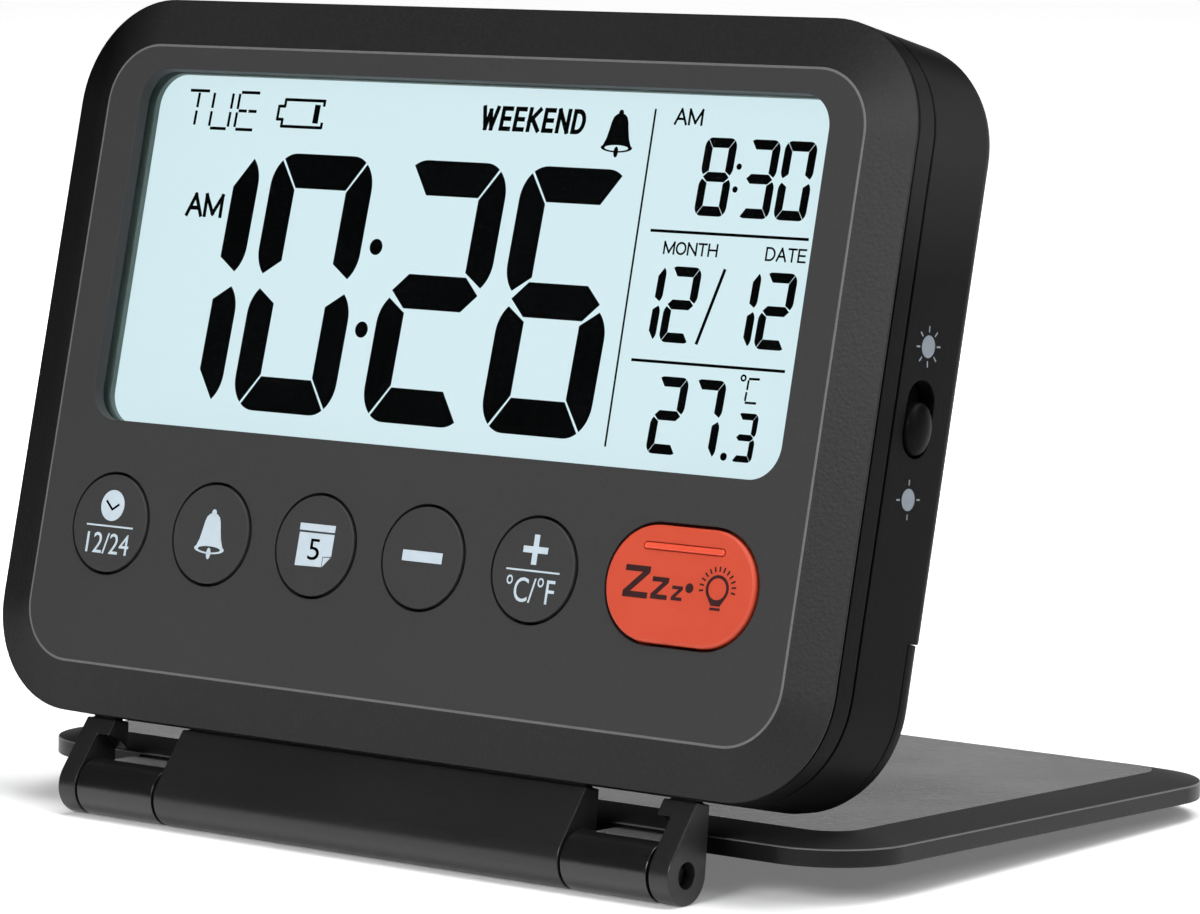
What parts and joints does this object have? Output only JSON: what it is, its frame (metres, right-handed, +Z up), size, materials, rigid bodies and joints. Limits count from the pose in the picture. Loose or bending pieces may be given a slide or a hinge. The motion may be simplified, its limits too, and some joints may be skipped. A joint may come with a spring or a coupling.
{
  "type": "alarm clock",
  "caption": "Folding travel alarm clock: wide backlit display over round buttons and a snooze bar, with a hinged plate that is its base and its cover.",
  "frame": {"origin": "centre of the bounding box on the surface that the clock stands on", "axes": "+X to the right along the display's width, -Y towards the user in front of the display, +Z up"},
  "size_m": [0.1116, 0.0788, 0.0851],
  "materials": {
    "panel_plastic": "fine matt grain, dark grey",
    "satin_plastic": "fine spark-eroded grain, black",
    "orange_plastic": "satin, orange red",
    "clear_window": "clear, polished",
    "display_glass": "lit pale cyan behind black segments",
    "light_guide": "milky, lit",
    "inner_plastic": "satin, grey green",
    "circuit_board": "green solder resist on glass fibre",
    "epoxy": "black potting resin",
    "rubber": "black silicone",
    "plated_steel": "zinc plated",
    "battery_sleeve": "plain dark blue printed sleeve",
    "red_insulation": "red wire insulation"
  },
  "bodies": {
    "clock_body": {"front_panel": "panel_plastic", "middle_frame": "satin_plastic", "rear_housing": "satin_plastic", "display_window": "clear_window", "display_frame": "inner_plastic", "display_glass": "display_glass", "backlight_panel": "light_guide", "backlight_led_left": "light_guide", "backlight_led_right": "light_guide", "zebra_connector": "rubber", "circuit_board": "circuit_board", "board_screw_1": "plated_steel", "board_screw_2": "plated_steel", "board_screw_3": "plated_steel", "board_screw_4": "plated_steel", "clock_chip": "epoxy", "quartz_crystal": "plated_steel", "temperature_sensor": "epoxy", "buzzer": "inner_plastic", "slide_switch": "plated_steel", "keypad_membrane": "rubber", "housing_screw_1": "plated_steel", "housing_screw_2": "plated_steel", "housing_screw_3": "plated_steel", "housing_screw_4": "plated_steel", "battery_1": "battery_sleeve", "battery_2": "battery_sleeve", "battery_contact_plus": "plated_steel", "battery_contact_minus": "plated_steel", "battery_spring": "plated_steel", "wire_red": "red_insulation", "wire_black": "satin_plastic", "hinge_bracket": "satin_plastic", "bracket_screw_left": "plated_steel", "bracket_screw_right": "plated_steel", "hinge_pin_left": "plated_steel", "hinge_pin_right": "plated_steel", "hinge_washer_left": "plated_steel", "hinge_washer_right": "plated_steel"},
    "cover": {"cover_plate": "satin_plastic", "foot_left": "rubber", "foot_right": "rubber"},
    "battery_door": {"battery_door": "satin_plastic"},
    "brightness_knob": {"brightness_knob": "satin_plastic"},
    "clock_button": {"clock_button": "panel_plastic"},
    "alarm_button": {"alarm_button": "panel_plastic"},
    "calendar_button": {"calendar_button": "panel_plastic"},
    "minus_button": {"minus_button": "panel_plastic"},
    "plus_button": {"plus_button": "panel_plastic"},
    "snooze_button": {"snooze_button": "orange_plastic"}
  },
  "joints": [
    {"name": "cover_hinge", "type": "hinge", "parent": "clock_body", "child": "cover", "pos_m": [-0.0005, -0.0364, 0.003], "axis": [-1, 0, 0], "range_deg": [0, 279.3]},
    {"name": "battery_door_slide", "type": "slide", "parent": "clock_body", "child": "battery_door", "axis": [0, 0.9906, -0.1368], "range_m": [0, 0.008]},
    {"name": "brightness_slide", "type": "slide", "parent": "clock_body", "child": "brightness_knob", "axis": [0, 0.2396, 0.9709], "range_m": [0, 0.0019]},
    {"name": "clock_press", "type": "slide", "parent": "clock_body", "child": "clock_button", "axis": [0, 0.9709, -0.2396], "range_m": [0, 0.0008], "stiffness_N_per_m": 800, "springref_m": -0.0005},
    {"name": "alarm_press", "type": "slide", "parent": "clock_body", "child": "alarm_button", "axis": [0, 0.9709, -0.2396], "range_m": [0, 0.0008], "stiffness_N_per_m": 800, "springref_m": -0.0005},
    {"name": "calendar_press", "type": "slide", "parent": "clock_body", "child": "calendar_button", "axis": [0, 0.9709, -0.2396], "range_m": [0, 0.0008], "stiffness_N_per_m": 800, "springref_m": -0.0005},
    {"name": "minus_press", "type": "slide", "parent": "clock_body", "child": "minus_button", "axis": [0, 0.9709, -0.2396], "range_m": [0, 0.0008], "stiffness_N_per_m": 800, "springref_m": -0.0005},
    {"name": "plus_press", "type": "slide", "parent": "clock_body", "child": "plus_button", "axis": [0, 0.9709, -0.2396], "range_m": [0, 0.0008], "stiffness_N_per_m": 800, "springref_m": -0.0005},
    {"name": "snooze_press", "type": "slide", "parent": "clock_body", "child": "snooze_button", "axis": [0, 0.9709, -0.2396], "range_m": [0, 0.0008], "stiffness_N_per_m": 800, "springref_m": -0.0005}
  ]
}
